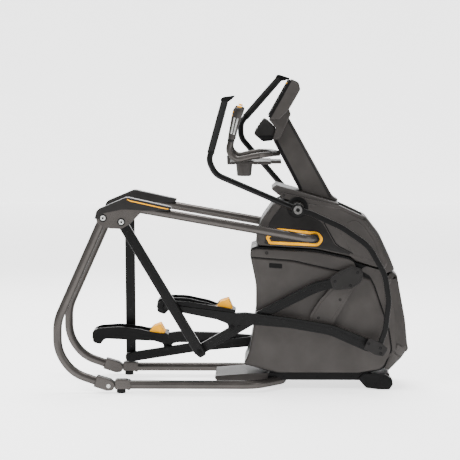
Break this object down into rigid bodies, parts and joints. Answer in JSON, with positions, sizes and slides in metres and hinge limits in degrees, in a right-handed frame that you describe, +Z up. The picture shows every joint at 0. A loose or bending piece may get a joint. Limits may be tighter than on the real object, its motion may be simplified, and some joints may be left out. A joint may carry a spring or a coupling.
{
  "type": "elliptical trainer",
  "caption": "Elliptical trainer with overhead suspension rails, hanging link arms, suspended pedals, moving handlebars and a console mast.",
  "frame": {"origin": "centre of the bounding box, on the floor", "axes": "+X forward to the console end, +Y to the user's left, +Z up"},
  "size_m": [1.8938, 0.7432, 1.681],
  "materials": {
    "gunmetal_paint": "satin metallic grey paint",
    "gunmetal_cover": "satin grey moulding",
    "dark_cover": "satin dark moulding",
    "black_arm": "satin black paint",
    "black_plastic": "fine-textured black moulding",
    "grip_rubber": "soft textured grip",
    "yellow_plastic": "satin yellow moulding",
    "screen_glass": "gloss black glass",
    "bright_steel": "bright machined steel",
    "rubber": "matt rubber",
    "cast_metal": "machined casting",
    "sensor_metal": "brushed contact strip"
  },
  "bodies": {
    "base": {"main_frame": "gunmetal_paint", "base_tubes": "gunmetal_paint", "front_cross_tube": "gunmetal_paint", "rear_tees": "gunmetal_paint", "rubber_feet": "rubber", "platform_cover": "gunmetal_cover", "right_lower_shell": "gunmetal_cover", "left_lower_shell": "gunmetal_cover", "right_upper_panel": "dark_cover", "left_upper_panel": "dark_cover", "top_cowl": "gunmetal_cover", "upper_front_cover": "gunmetal_cover", "lower_front_cover": "gunmetal_cover", "slot_bezels": "yellow_plastic", "mast": "gunmetal_cover", "console_shell": "gunmetal_cover", "screen": "screen_glass", "keypad_pod": "black_plastic", "grip_frame": "gunmetal_paint", "grip_sensors": "sensor_metal", "cup_tray": "gunmetal_cover", "lever_axle": "bright_steel", "crank_bearings": "bright_steel", "wheel_housings": "black_plastic", "screws": "bright_steel", "power_inlet": "black_plastic", "lift_actuator": "cast_metal", "drive_belt": "rubber", "right_rail": "gunmetal_paint", "left_rail": "gunmetal_paint", "brackets": "gunmetal_paint", "bracket_covers": "dark_cover", "right_pillar": "gunmetal_paint", "left_pillar": "gunmetal_paint", "knuckles": "gunmetal_paint", "pivot_bolts": "bright_steel"},
    "crank": {"crank_axle": "cast_metal", "crank_covers": "gunmetal_cover", "drive_pulley": "cast_metal"},
    "flywheel": {"flywheel": "cast_metal"},
    "right_suspension": {"right_suspension_arm": "black_arm"},
    "right_link": {"right_link_arm": "black_arm"},
    "right_pedal": {"right_pedal_arm": "black_arm", "right_footplate": "black_plastic", "right_tread": "rubber", "right_toe_wedge": "yellow_plastic"},
    "right_handlebar": {"right_lever": "black_arm", "right_grip": "grip_rubber"},
    "left_suspension": {"left_suspension_arm": "black_arm"},
    "left_link": {"left_link_arm": "black_arm"},
    "left_pedal": {"left_pedal_arm": "black_arm", "left_footplate": "black_plastic", "left_tread": "rubber", "left_toe_wedge": "yellow_plastic"},
    "left_handlebar": {"left_lever": "black_arm", "left_grip": "grip_rubber"},
    "right_transport_wheel": {"right_wheel": "rubber"},
    "left_transport_wheel": {"left_wheel": "rubber"},
    "right_thumb_button": {"right_button": "yellow_plastic"},
    "left_thumb_button": {"left_button": "yellow_plastic"}
  },
  "joints": [
    {"name": "crank_turn", "type": "hinge", "parent": "base", "child": "crank", "pos_m": [0.473, 0, 0.395], "axis": [0, 1, 0], "range_deg": [0, 180]},
    {"name": "flywheel_spin", "type": "hinge", "parent": "base", "child": "flywheel", "pos_m": [0.758, 0, 0.33], "axis": [0, 1, 0], "range_deg": [0, 687.11]},
    {"name": "right_suspension_pivot", "type": "hinge", "parent": "base", "child": "right_suspension", "pos_m": [-0.582, -0.315, 0.915], "axis": [0, 1, 0], "range_deg": [0, 30.34]},
    {"name": "right_link_pivot", "type": "hinge", "parent": "right_suspension", "child": "right_link", "pos_m": [-0.1706, -0.315, 0.22306], "axis": [0, 1, 0], "range_deg": [-9.14, 0]},
    {"name": "right_pedal_pivot", "type": "hinge", "parent": "right_link", "child": "right_pedal", "pos_m": [0.00128, -0.28, 0.35017], "axis": [0, 1, 0], "range_deg": [-26.42, 0]},
    {"name": "right_lever_pivot", "type": "hinge", "parent": "base", "child": "right_handlebar", "pos_m": [0.349, -0.352, 0.981], "axis": [0, 1, 0], "range_deg": [0, 25.95]},
    {"name": "left_suspension_pivot", "type": "hinge", "parent": "base", "child": "left_suspension", "pos_m": [-0.582, 0.315, 0.915], "axis": [0, 1, 0], "range_deg": [-30.34, 0]},
    {"name": "left_link_pivot", "type": "hinge", "parent": "left_suspension", "child": "left_link", "pos_m": [-0.5764, 0.315, 0.11002], "axis": [0, 1, 0], "range_deg": [0, 9.14]},
    {"name": "left_pedal_pivot", "type": "hinge", "parent": "left_link", "child": "left_pedal", "pos_m": [-0.3702, 0.28, 0.1664], "axis": [0, 1, 0], "range_deg": [0, 26.42]},
    {"name": "left_lever_pivot", "type": "hinge", "parent": "base", "child": "left_handlebar", "pos_m": [0.349, 0.352, 0.981], "axis": [0, 1, 0], "range_deg": [-25.95, 0]},
    {"name": "right_wheel_spin", "type": "hinge", "parent": "base", "child": "right_transport_wheel", "pos_m": [0.829, -0.172, 0.036], "axis": [0, 1, 0], "continuous": true},
    {"name": "left_wheel_spin", "type": "hinge", "parent": "base", "child": "left_transport_wheel", "pos_m": [0.829, 0.172, 0.036], "axis": [0, 1, 0], "continuous": true},
    {"name": "right_button_press", "type": "slide", "parent": "base", "child": "right_thumb_button", "axis": [-0.247, 0, -0.969], "range_m": [0, 0.0015], "stiffness_N_per_m": 800, "springref_m": -0.001},
    {"name": "left_button_press", "type": "slide", "parent": "base", "child": "left_thumb_button", "axis": [-0.247, 0, -0.969], "range_m": [0, 0.0015], "stiffness_N_per_m": 800, "springref_m": -0.001}
  ],
  "couplings": [
    {"joint": "flywheel_spin", "follows": "crank_turn", "ratio": 3.8173},
    {"joint": "right_suspension_pivot", "follows": "crank_turn", "ratio": 0.16853},
    {"joint": "right_link_pivot", "follows": "crank_turn", "ratio": -0.050801},
    {"joint": "right_pedal_pivot", "follows": "crank_turn", "ratio": -0.14678},
    {"joint": "right_lever_pivot", "follows": "crank_turn", "ratio": 0.14416},
    {"joint": "left_suspension_pivot", "follows": "crank_turn", "ratio": -0.16853},
    {"joint": "left_link_pivot", "follows": "crank_turn", "ratio": 0.050801},
    {"joint": "left_pedal_pivot", "follows": "crank_turn", "ratio": 0.14678},
    {"joint": "left_lever_pivot", "follows": "crank_turn", "ratio": -0.14416}
  ]
}
